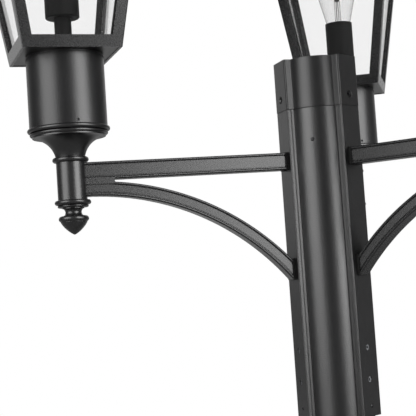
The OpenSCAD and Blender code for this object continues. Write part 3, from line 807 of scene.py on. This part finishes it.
@dataclass
class Wiring:
    """The lamps' leads from the splice in the post head to the three lampholders."""

    lead_r: float = 2.0 * MM
    splice_z: float = SEAM_Z - 150 * MM
    splice_r: float = 11.0 * MM
    splice_len: float = 22.0 * MM
    splice_roll: float = 2.0 * MM
    groove_mm: Profile = ((11.0, 7.0), (10.2, 7.6), (10.2, 8.4), (11.0, 9.0))
    groove_step: float = 6.0 * MM
    exit_x: float = 7.0 * MM
    exit_up: float = 18.0 * MM
    climb_z: float = SEAM_Z - 105 * MM
    hub_in: float = 9.0 * MM
    hub_z: float = SEAM_Z - 45 * MM
    socket_z: float = SEAM_Z + LANTERN_BASE_UP + 46 * MM
    down_x: float = 29.0 * MM
    pad_x: float = 46.65 * MM
    pad_z: float = SEAM_Z - 59.9 * MM
    bar_slope: float = 3.15 / 221.6

    def bar_z(self, reach: float) -> float:
        """Height of the arm's bore at a distance from the post's axis, along its straight slope."""
        return self.pad_z - (reach - self.pad_x) * self.bar_slope

    def lead(self, side: Side) -> Shell:
        """Lay one lead: up out of the splice, through the pad, along the bar and up the hub.

        Args:
            side: The arm that it runs along.

        Returns:
            The lead as a tube on a path with rounded corners.
        """
        before_hub = LANTERN_REACH - self.hub_in
        corners = np.array(
            [
                [self.exit_x, 0.0, self.splice_z + self.exit_up],
                [self.down_x, 0.0, self.climb_z],
                [self.down_x, 0.0, self.bar_z(self.down_x)],
                [self.pad_x, 0.0, self.pad_z],
                [before_hub, 0.0, self.bar_z(before_hub)],
                [LANTERN_REACH, 0.0, self.bar_z(LANTERN_REACH)],
                [LANTERN_REACH, 0.0, self.hub_z],
                [LANTERN_REACH, 0.0, self.socket_z],
            ]
        )
        return Shell.tube(smooth_path(corners, 2), self.lead_r, 12).moved(turn=side.value)

    def splice(self) -> Shell:
        """Turn the capped crimp sleeve that joins the leads.

        Its profile is a barrel with two grooves, whose ends are rolled over a quarter of a circle.

        Returns:
            The splice at its place on the post's axis.
        """
        bend = np.linspace(0, np.pi / 2, 5)
        roll = self.splice_roll
        low = np.column_stack([self.splice_r - roll + roll * np.sin(bend), roll - roll * np.cos(bend)])
        high = np.array([[0.0, self.splice_len]]) + low[::-1] * np.array([[1.0, -1.0]])
        groove = np.array(self.groove_mm) * MM
        start, end = [[0.0, 0.0]], [[0.0, self.splice_len]]
        profile = np.vstack([start, low, groove, groove + [0.0, self.groove_step], high, end])
        return Shell.revolved(profile, 32).moved((0.0, 0.0, self.splice_z))

    def build(self) -> list[bpy.types.Object]:
        """Lay the leads and their splice, and let them stand for the source's node.

        Returns:
            The new piece.
        """
        made = self.splice().joined(*(self.lead(side) for side in Side)).piece("lamp_lead_run", LEAD_SHEATH)
        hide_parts("lamp_leads")
        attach(made, "post")
        return [made]


@dataclass
class Arm:
    """One cast arm with its turned hub and acorn."""

    side: Side

    def build(self) -> list[bpy.types.Object]:
        """Dress the arm in the sand coat and its turned pieces in the semi-gloss coat.

        Returns:
            An empty list, because nothing here needs a new piece.
        """
        SAND_COAT.dress(f"{self.side.label}_arm")
        GLOSS_COAT.dress(f"{self.side.label}_hub", f"{self.side.label}_hub_finial")
        return []


@dataclass
class Bulb:
    """A clear teardrop bulb: blown glass, screw shell with its contact, and a glass stem with four filaments.

    Its heights are over the lantern's underside.
    """

    side: Side
    foot_z: float = 80 * MM
    foot_r: float = 13.4 * MM
    wide_z: float = 182 * MM
    wide_r: float = 32 * MM
    wall: float = 1.0 * MM
    ease: float = 1.2
    shell_r: float = 12.78 * MM
    shell_in: float = 12.2 * MM
    shell_low: float = 58.5 * MM
    shell_gap: float = 0.2 * MM
    shell_floor: float = 60.0 * MM
    shell_nose_mm: Profile = ((0.0, 56.8), (9.0, 56.8), (11.6, 57.4))
    thread_rise: float = 0.22 * MM
    thread_pitch: float = 3.63 * MM
    thread_fade: float = 2.5 * MM
    vitrite_mm: Profile = ((0.0, 54.6), (4.4, 54.6), (4.9, 54.9), (8.6, 56.2), (8.8, 56.7), (0.0, 56.7))
    contact_z: float = 53 * MM
    contact_r: float = 4.2 * MM
    contact_rise: float = 1.5 * MM
    contact_top: float = 54.5 * MM
    stem_r: float = 4.2 * MM
    stem_wall: float = 0.8 * MM
    stem_top: float = 130 * MM
    stem_neck_mm: Profile = ((4.2, -9.0), (4.0, -5.0), (3.1, -1.4), (1.6, -0.2), (0.0, 0.0))
    bore_min_r: float = 0.4 * MM
    bore_sink: float = 0.1 * MM
    bore_end_r: float = 1.2 * MM
    bore_end_drop: float = 5.2 * MM
    bore_tip: float = 0.2 * MM
    flare_r: float = 11.6 * MM
    flare_z: float = 78 * MM
    flare_len: float = 16 * MM
    flare_power: float = 2.4
    feed_mm: Profile = ((1.9, 70.0), (1.9, 112.0), (1.1, 128.0))
    collar_mm: Profile = (
        (0.0, 125.2),
        (1.2, 125.2),
        (2.7, 125.6),
        (2.9, 131.6),
        (2.0, 133.2),
        (0.0, 133.4),
    )
    mast_mm: Profile = (
        (0.0, 133.0),
        (0.7, 133.0),
        (0.7, 188.0),
        (1.4, 188.6),
        (1.4, 190.0),
        (0.0, 190.6),
    )
    foot_wire_mm: Profile = ((1.5, 131.5), (3.6, 133.0), (5.0, 138.0))
    top_wire_mm: Profile = ((12.0, 186.0), (10.0, 189.5), (1.0, 189.2))
    stick_r: float = 1.1 * MM
    wire_r: float = 0.45 * MM
    stick_turns: tuple[int, ...] = (45, 135, 225, 315)
    feed_turns: tuple[int, ...] = (20, 200)

    @property
    def origin(self) -> tuple[float, float, float]:
        """The point on the lantern's axis from which the bulb's heights are measured."""
        angle = math.radians(self.side.value)
        return LANTERN_REACH * math.cos(angle), LANTERN_REACH * math.sin(angle), SEAM_Z + LANTERN_BASE_UP

    def outline(self, inset: float) -> np.ndarray:
        """Work out the glass's outline from its foot to its tip.

        Below the widest place the radius is foot + (wide - foot) sin(90 u ** ease), with u the share of the
        height. Above it the outline is a quarter of a circle.

        Args:
            inset: How far the outline is moved in from the outer face.

        Returns:
            Rows of radius and height.
        """
        u = np.linspace(0, 1, 34)
        radius = self.foot_r + (self.wide_r - self.foot_r) * np.sin(np.pi / 2 * u**self.ease) - inset
        lower = np.column_stack([radius, self.foot_z + (self.wide_z - self.foot_z) * u])
        bend = np.linspace(0, np.pi / 2, 18)[1:]
        upper = np.column_stack(
            [(self.wide_r - inset) * np.cos(bend), self.wide_z + (self.wide_r - inset) * np.sin(bend)]
        )
        upper[-1, 0] = 0.0
        return np.vstack([lower, upper])

    def envelope(self) -> Shell:
        """Blow the glass: the outer outline, and the inner one as the other face of its wall."""
        outer, inner = self.outline(0.0), self.outline(self.wall)
        return Shell.revolved(np.vstack([outer[::-1], inner]), 96)

    def screw_shell(self) -> Shell:
        """Roll the screw shell. Its wall swells by rise cos(t - 2 pi z / pitch), which fades at both rims.

        Returns:
            The shell with its inner face and floor.
        """
        rim = self.foot_z - self.shell_gap
        wall_z = np.linspace(self.shell_low, rim, 74)
        nose = np.array(self.shell_nose_mm) * MM
        outer = np.column_stack([np.full_like(wall_z, self.shell_r), wall_z])
        inner = np.array([[self.shell_in, rim], [self.shell_in, self.shell_floor], [0.0, self.shell_floor]])
        profile = np.vstack([nose, outer, inner])
        turn = np.linspace(0, 2 * np.pi, 48, endpoint=False)
        from_rim = np.minimum(wall_z - wall_z[0], wall_z[-1] - wall_z)
        fade = np.clip(from_rim / self.thread_fade, 0, 1)[:, None]
        swell = np.zeros((len(profile) - 2, len(turn)))
        rows = slice(len(nose) - 1, len(nose) - 1 + len(wall_z))
        wave = np.cos(turn[None] - 2 * np.pi * wall_z[:, None] / self.thread_pitch)
        swell[rows] = self.thread_rise * fade * wave
        return Shell.revolved(profile, len(turn), swell)

    def contact(self) -> tuple[Shell, Shell]:
        """Turn the black glass cone under the screw shell, and the domed contact at its tip.

        The dome is a quarter of an ellipse, with its radius as a sine and its height as one less a cosine.

        Returns:
            The glass and the contact.
        """
        bend = np.linspace(0, np.pi / 2, 6)
        dome_z = self.contact_z + self.contact_rise * (1 - np.cos(bend))
        dome = np.column_stack([self.contact_r * np.sin(bend), dome_z])
        dome = np.vstack([dome, [[0.0, self.contact_top]]])
        return Shell.revolved(np.array(self.vitrite_mm) * MM, 32), Shell.revolved(dome, 32)

    def stem(self) -> Shell:
        """Blow the stem: a flare that eases into a hollow tube, whose top is pressed shut.

        The flare's radius is stem + (flare - stem) (1 - u) ** power, with u the share of its length.

        Returns:
            The stem with the face of its bore.
        """
        share = np.linspace(0, 1, 12)
        radius = self.stem_r + (self.flare_r - self.stem_r) * (1 - share) ** self.flare_power
        flare = np.column_stack([radius, self.flare_z + self.flare_len * share])
        outside = np.vstack([flare, np.array(self.stem_neck_mm) * MM + [0.0, self.stem_top]])
        inside_r = np.maximum(outside[:-3, 0] - self.stem_wall, self.bore_min_r)
        inside = np.column_stack([inside_r, outside[:-3, 1] - self.bore_sink])
        end = self.stem_top - self.bore_end_drop
        bore = np.vstack([inside, [[self.bore_end_r, end], [0.0, end + self.bore_tip]]])
        return Shell.revolved(np.vstack([outside[::-1], bore]), 40)

    def spoke(self, corners_mm: Profile, radius: float, turn: float) -> Shell:
        """Run a wire or a stick in a plane through the bulb's axis.

        Args:
            corners_mm: Distances from the axis and heights, in millimetres.
            radius: The wire's radius.
            turn: Where the plane stands round the axis, in degrees.

        Returns:
            The wire as a tube.
        """
        out, height = np.array(corners_mm).T * MM
        path = np.column_stack([out, np.zeros_like(out), height])
        return Shell.tube(smooth_path(path, 2), radius, 8).moved(turn=turn)

    def wires(self) -> Shell:
        """Run two feed wires up the stem, its collar and mast, and a support to each filament's foot and top.

        Returns:
            All of them as one shell.
        """
        collar = Shell.revolved(np.array(self.collar_mm) * MM, 20)
        parts = [Shell.revolved(np.array(self.mast_mm) * MM, 12)]
        parts += [self.spoke(self.feed_mm, self.wire_r, turn) for turn in self.feed_turns]
        for turn in self.stick_turns:
            parts += [self.spoke(wire, self.wire_r, turn) for wire in (self.foot_wire_mm, self.top_wire_mm)]
        return collar.joined(*parts)

    def filaments(self) -> Shell:
        """Set the filament sticks, which lean outwards from their foot wires to their top wires.

        Returns:
            The sticks as one shell.
        """
        ends = (self.foot_wire_mm[-1], self.top_wire_mm[0])
        sticks = [self.spoke(ends, self.stick_r, turn) for turn in self.stick_turns]
        return sticks[0].joined(*sticks[1:])

    def build(self) -> list[bpy.types.Object]:
        """Make the bulb's pieces and let them ride on the bulb's body.

        Returns:
            The new pieces.
        """
        label = self.side.label
        vitrite, contact = self.contact()
        made = {
            "glass": (self.envelope(), BULB_GLASS, "bulb_glass", f"{label}_bulb_glass"),
            "shell": (self.screw_shell(), NICKEL_BRASS, "lamp_base", f"{label}_bulb_cap"),
            "vitrite": (vitrite, VITRITE, "lamp_base", f"{label}_bulb_cap"),
            "contact": (contact, CONTACT_BRASS, "lamp_base", f"{label}_bulb_cap"),
            "stem": (self.stem(), BULB_GLASS, "bulb_glass", f"{label}_bulb_mount"),
            "wires": (self.wires(), NICKEL_WIRE, "filament", f"{label}_bulb_mount"),
            "sticks": (self.filaments(), PHOSPHOR, "filament", f"{label}_bulb_mount"),
        }
        pieces = []
        for part, (shell, finish, slot, node) in made.items():
            piece = shell.moved(self.origin).piece(f"{label}_bulb_{part}_fine", finish)
            piece.visible_shadow = not isinstance(finish, ClearGlass)
            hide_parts(node)
            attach(piece, f"{label}_bulb")
            pieces.append(piece)
        return pieces


@dataclass
class Lantern:
    """One lantern: cup, frame, panes, lampholder, roof and its acorn, with the bulb inside."""

    side: Side

    def build(self) -> list[bpy.types.Object]:
        """Dress the lantern's nodes and make its bulb.

        Returns:
            The new pieces.
        """
        label = self.side.label
        SAND_COAT.dress(f"{label}_lantern_frame", f"{label}_roof")
        SATIN_COAT.dress(*(f"{label}_{part}" for part in ("fitter_cup", "roof_finial")))
        MATT_LACQUER.dress(f"{label}_socket_stem", f"{label}_socket_shell")
        PORCELAIN.dress(f"{label}_socket_insert")
        ZINC_STEEL.dress(f"{label}_crossbar")
        PANE_GLASS.dress(f"{label}_glass_panes")
        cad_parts[f"{label}_glass_panes"].visible_shadow = False
        return Bulb(self.side).build()


# Studio


@dataclass(frozen=True)
class SoftBox:
    """A tall upright soft lamp that stands round the object and faces the post.

    Its direction is in degrees from +X, and its watts are those of a Blender area light.
    """

    name: str
    direction: float
    distance: float
    height: float
    width: float
    tall: float
    watts: float

    def build(self) -> bpy.types.Object:
        """Set up the lamp at distance (cos a, sin a), turned to the post.

        The camera and the glass don't see it, and its reflections show.

        Returns:
            The lamp.
        """
        data = bpy.data.lights.new(self.name, "AREA")
        data.shape, data.size, data.size_y, data.energy = "RECTANGLE", self.width, self.tall, self.watts
        lamp = bpy.data.objects.new(self.name, data)
        bpy.context.scene.collection.objects.link(lamp)
        angle = math.radians(self.direction)
        spot = Vector((self.distance * math.cos(angle), self.distance * math.sin(angle), self.height))
        lamp.location = spot
        lamp.rotation_mode = "QUATERNION"
        lamp.rotation_quaternion = (spot - Vector((0, 0, self.height))).to_track_quat("Z", "Y")
        lamp.visible_camera = False
        lamp.visible_transmission = False
        return lamp


@dataclass
class Studio:
    """Pale floor, white surroundings, soft lamps and the camera."""

    floor_rings: tuple[float, ...] = (0.0, 0.4, 1.0, 9.0)
    floor_thick: float = 0.01
    floor_drop: float = 0.0005
    sweep: tuple[float, float] = (0.35, 2.4)
    floor_mirrored: tuple[float, float] = (0.24, 0.8)
    fill: float = 0.2
    room: float = 0.13
    backdrop: float = 0.78
    horizon: tuple[float, float] = (-0.1, 0.17)
    backdrop_turn: float = 75.0
    backdrop_spread: tuple[float, float] = (0.5, 0.95)
    backdrop_reach: tuple[float, float] = (3.0, 7.0)
    lamps: tuple[SoftBox, ...] = (
        SoftBox("left_softbox", 203.0, 4.0, 3.7, 3.25, 4.9, 154.0),
        SoftBox("right_softbox", 306.3, 4.0, 3.7, 3.42, 4.9, 252.0),
    )
    lens: float = 100.63
    sensor: float = 36.0
    clip: tuple[float, float] = (0.05, 60.0)
    camera_at: tuple[float, float, float] = (-0.50308308, -1.20136108, 1.6153721)
    camera_right: tuple[float, float, float] = (0.95567996, -0.28694566, -0.06586351)
    camera_up: tuple[float, float, float] = (0.04417001, -0.0814365, 0.99569931)

    def sight(self, tree: NodeTree) -> tuple[NodeSocket, NodeSocket]:
        """Tell what the camera sees, straight or through glass alone, from what a shiny surface mirrors.

        A ray is seen if it left the camera or went through glass, less its bounces off anything matt or
        shiny. It is mirrored if it bounced off something shiny. Both are held between nothing and one.

        Args:
            tree: The node tree of the world or of the floor.

        Returns:
            A value that is one for what is seen, and a value that is one for what is mirrored.
        """
        path = add_node(tree, "ShaderNodeLightPath").outputs
        total = {"operation": "ADD", "use_clamp": True}
        rest = {"operation": "SUBTRACT", "use_clamp": True}
        rays = {0: path[Seen.CAMERA.value], 1: path[Seen.TRANSMISSION.value]}
        straight = add_node(tree, "ShaderNodeMath", {"operation": "MAXIMUM"}, rays).outputs[0]
        bounces = {0: path["Glossy Depth"], 1: path["Diffuse Depth"]}
        turned = add_node(tree, "ShaderNodeMath", total, bounces).outputs[0]
        seen = add_node(tree, "ShaderNodeMath", rest, {0: straight, 1: turned}).outputs[0]
        shiny = {0: path["Glossy Depth"], 1: path[Seen.GLOSSY.value]}
        return seen, add_node(tree, "ShaderNodeMath", total, shiny).outputs[0]

    def behind(self, tree: NodeTree, place: NodeSocket) -> NodeSocket:
        """Measure how far a place or a direction lies towards the backdrop: x cos a + y sin a.

        Args:
            tree: The node tree of the world or of the floor.
            place: The place or the direction.

        Returns:
            The distance.
        """
        angle = math.radians(self.backdrop_turn)
        towards = (math.cos(angle), math.sin(angle), 0.0)
        return add_node(
            tree, "ShaderNodeVectorMath", {"operation": "DOT_PRODUCT"}, {0: place, 1: towards}
        ).outputs["Value"]

    def surroundings(self) -> None:
        """Make the world white to the camera and through glass.

        What shines mirrors the white backdrop, which stands behind the post as in the photograph, and the
        dim room round the rest of it. What is matt gets the even fill.
        """
        world = bpy.data.worlds.new("white_surroundings")
        bpy.context.scene.world = world
        world.use_nodes = True
        tree = world.node_tree
        tree.nodes.clear()
        way = add_node(tree, "ShaderNodeTexCoord").outputs["Generated"]
        height = add_node(tree, "ShaderNodeSeparateXYZ", inputs={0: way}).outputs["Z"]
        edges = ((self.behind(tree, way), self.backdrop_spread), (height, self.horizon))
        wide, lifted = (
            add_node(
                tree,
                "ShaderNodeMapRange",
                {"interpolation_type": "SMOOTHSTEP"},
                {"Value": value, "From Min": span[0], "From Max": span[1]},
            ).outputs[0]
            for value, span in edges
        )
        lit = add_node(tree, "ShaderNodeMath", {"operation": "MULTIPLY"}, {0: wide, 1: lifted}).outputs[0]
        seen, glossy = self.sight(tree)
        blend = {"data_type": "FLOAT"}
        mirrored = add_node(tree, "ShaderNodeMix", blend, {0: lit, 2: self.room, 3: self.backdrop}).outputs[0]
        unseen = add_node(tree, "ShaderNodeMix", blend, {0: glossy, 2: self.fill, 3: mirrored}).outputs[0]
        strength = add_node(tree, "ShaderNodeMix", blend, {0: seen, 2: unseen, 3: 1.0}).outputs[0]
        back = add_node(
            tree, "ShaderNodeBackground", inputs={"Color": (1.0, 1.0, 1.0, 1.0), "Strength": strength}
        ).outputs[0]
        add_node(tree, "ShaderNodeOutputWorld", inputs={"Surface": back})

    def floor(self) -> bpy.types.Object:
        """Lay a round floor, p(s, t) = s (cos t, sin t, 0), that turns to plain white away from the post.

        What shines mirrors it as an even glow that is brighter towards the backdrop.

        Returns:
            The floor.
        """
        top = [[ring, 0.0] for ring in self.floor_rings]
        under = [[ring, -self.floor_thick] for ring in (self.floor_rings[-1], 0.0)]
        disc = Shell.revolved(np.array([*top, *under]), 96)
        laid = disc.moved((0.0, 0.0, -self.floor_drop)).piece("pale_floor", FLOOR_PAINT)
        tree = FLOOR_PAINT.material().node_tree
        place = add_node(tree, "ShaderNodeTexCoord").outputs["Object"]
        reach = add_node(tree, "ShaderNodeVectorMath", {"operation": "LENGTH"}, {0: place}).outputs["Value"]
        spans = (
            ("LINEAR", self.behind(tree, place), self.backdrop_reach),
            ("SMOOTHSTEP", reach, self.sweep),
        )
        towards, swept = (
            add_node(
                tree,
                "ShaderNodeMapRange",
                {"interpolation_type": kind},
                {"Value": value, "From Min": span[0], "From Max": span[1]},
            ).outputs[0]
            for kind, value, span in spans
        )
        seen, glossy = self.sight(tree)
        blend = {"data_type": "FLOAT"}
        dim, bright = self.floor_mirrored
        share = add_node(tree, "ShaderNodeMix", blend, {0: seen, 2: glossy, 3: swept}).outputs[0]
        mirrored = add_node(tree, "ShaderNodeMix", blend, {0: towards, 2: dim, 3: bright}).outputs[0]
        level = add_node(tree, "ShaderNodeMix", blend, {0: seen, 2: mirrored, 3: 1.0}).outputs[0]
        glow = add_node(tree, "ShaderNodeEmission", inputs={"Color": (1.0, 1.0, 1.0, 1.0), "Strength": level})
        paint = next(n for n in tree.nodes if n.type == "BSDF_PRINCIPLED")
        output = next(n for n in tree.nodes if n.type == "OUTPUT_MATERIAL")
        mixed = add_node(
            tree, "ShaderNodeMixShader", inputs={0: share, 1: paint.outputs[0], 2: glow.outputs[0]}
        ).outputs[0]
        tree.links.new(mixed, output.inputs["Surface"])
        return laid

    def camera(self) -> bpy.types.Object:
        """Set up the camera where the photograph was taken from, as fitted to its outlines.

        Returns:
            The camera.
        """
        data = bpy.data.cameras.new("view")
        data.lens, data.sensor_width = self.lens, self.sensor
        data.clip_start, data.clip_end = self.clip
        made = bpy.data.objects.new("view", data)
        bpy.context.scene.collection.objects.link(made)
        right, up = Vector(self.camera_right).normalized(), Vector(self.camera_up).normalized()
        axes = Matrix((right, up, right.cross(up))).transposed().to_4x4()
        made.matrix_world = Matrix.Translation(self.camera_at) @ axes
        bpy.context.scene.camera = made
        return made

    def build(self) -> None:
        """Build the whole studio and set how colours are shown."""
        self.surroundings()
        self.floor()
        for lamp in self.lamps:
            lamp.build()
        self.camera()
        bpy.context.scene.view_settings.view_transform = "Standard"


def main() -> None:
    """Dress the object, build its new pieces and the studio, and report them."""
    logging.basicConfig(level=logging.INFO, format="%(name)s: %(message)s")
    groups = [Foot(), Post(), Wiring(), *(Arm(side) for side in Side), *(Lantern(side) for side in Side)]
    for group in groups:
        pieces = ", ".join(piece.name for piece in group.build())
        LOG.info("%s: %s", type(group).__name__, pieces or "packed nodes only")
    Studio().build()


if __name__ == "__main__":
    main()
